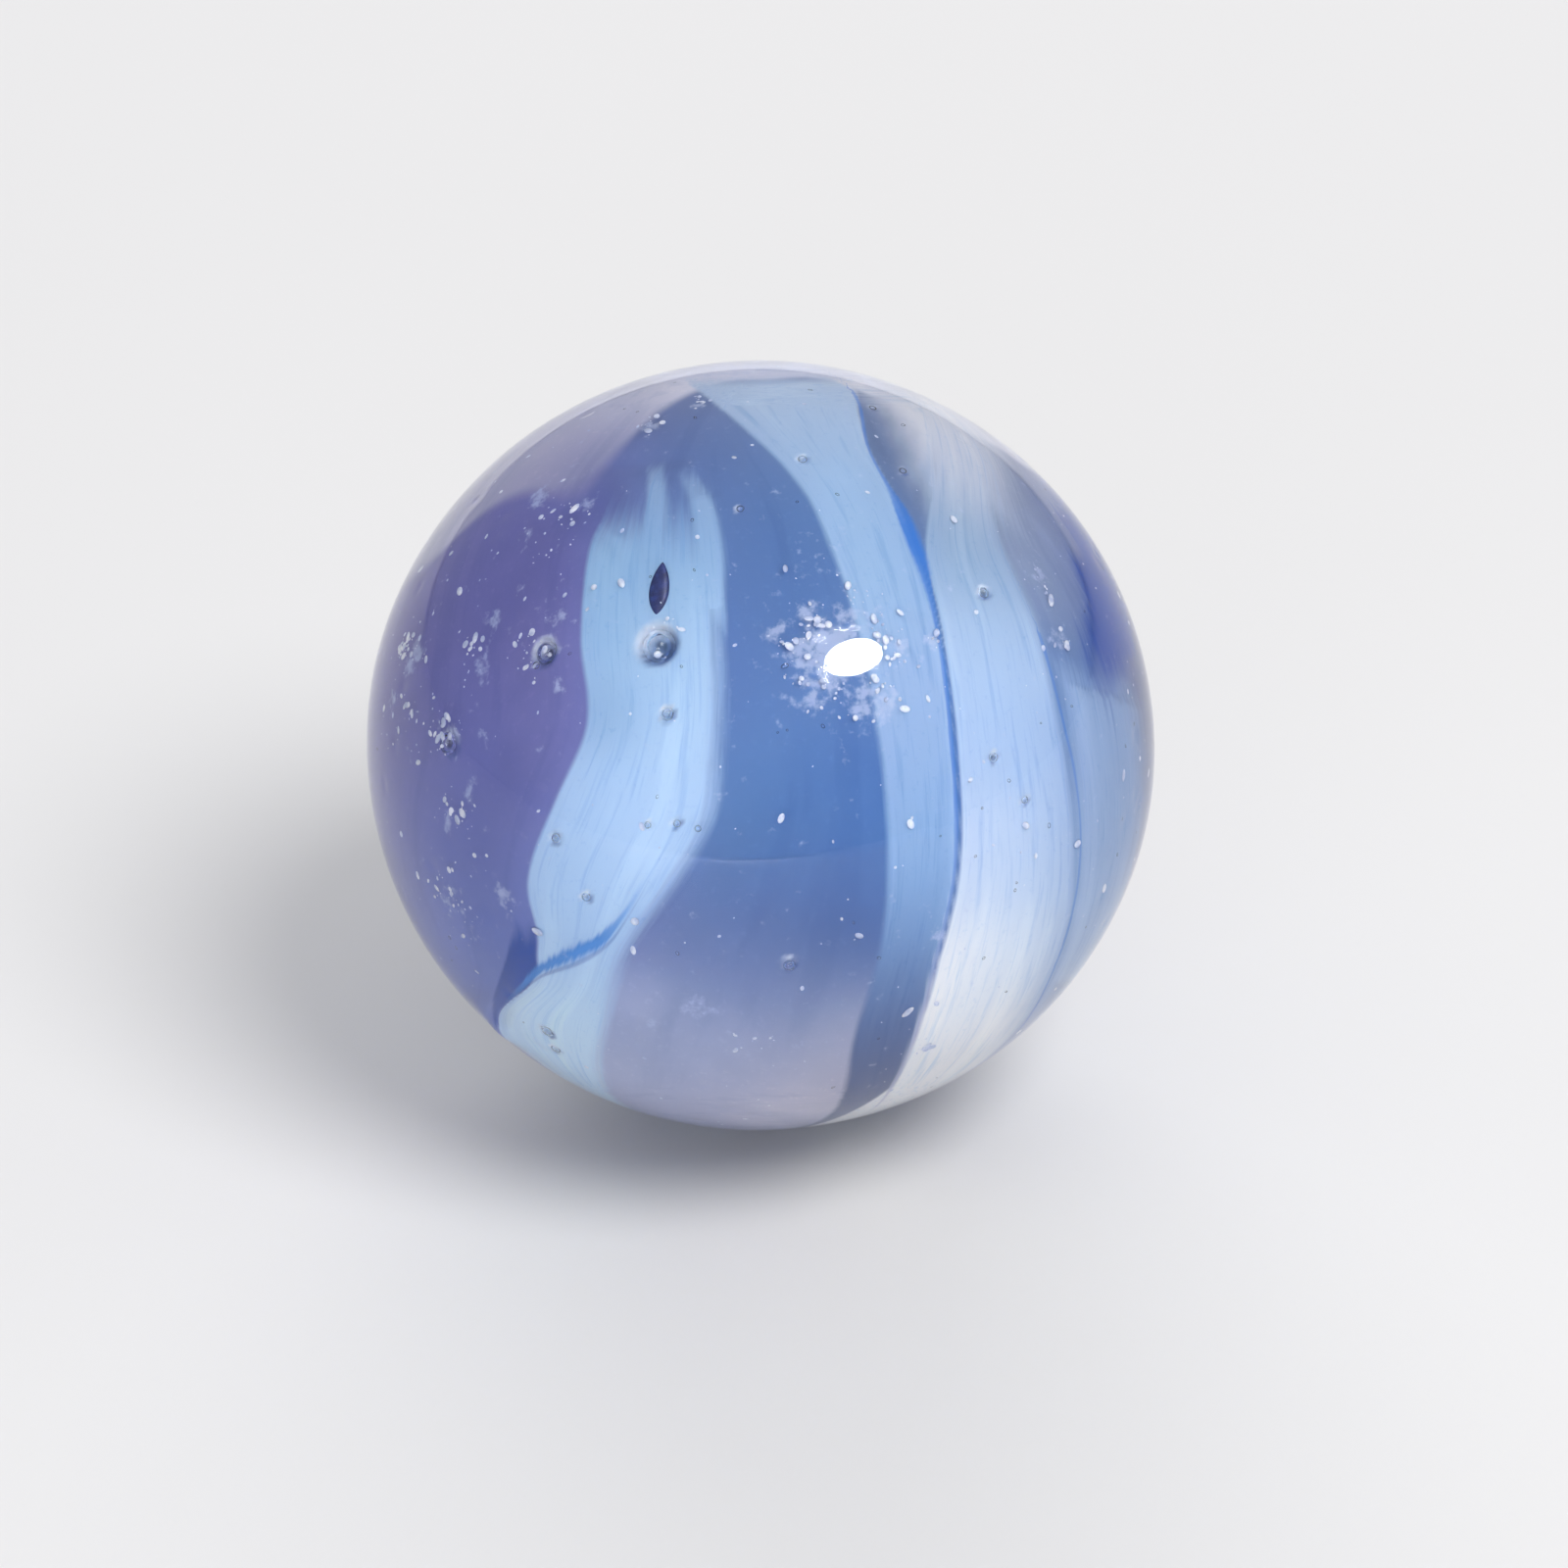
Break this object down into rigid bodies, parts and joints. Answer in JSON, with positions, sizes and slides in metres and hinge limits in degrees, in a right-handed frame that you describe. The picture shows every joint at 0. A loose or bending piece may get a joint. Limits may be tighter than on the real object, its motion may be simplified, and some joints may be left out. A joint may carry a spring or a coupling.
{
  "type": "glass marble",
  "caption": "Glass playing marble: a fused ball of clear blue glass with opaque pale blue swirls, slightly flattened along one axis",
  "frame": {"origin": "the centre of the ball", "axes": "+Z along the ball's slightly shorter axis, about which it is round; +X and +Y across it, with the main pale ribbons of the swirl on the side facing -Y"},
  "size_m": [0.0162, 0.0162, 0.0156],
  "materials": {
    "glass": "polished clear blue glass, with fine pits and scuffs from play"
  },
  "bodies": {
    "root": {"marble": "glass"}
  },
  "joints": []
}
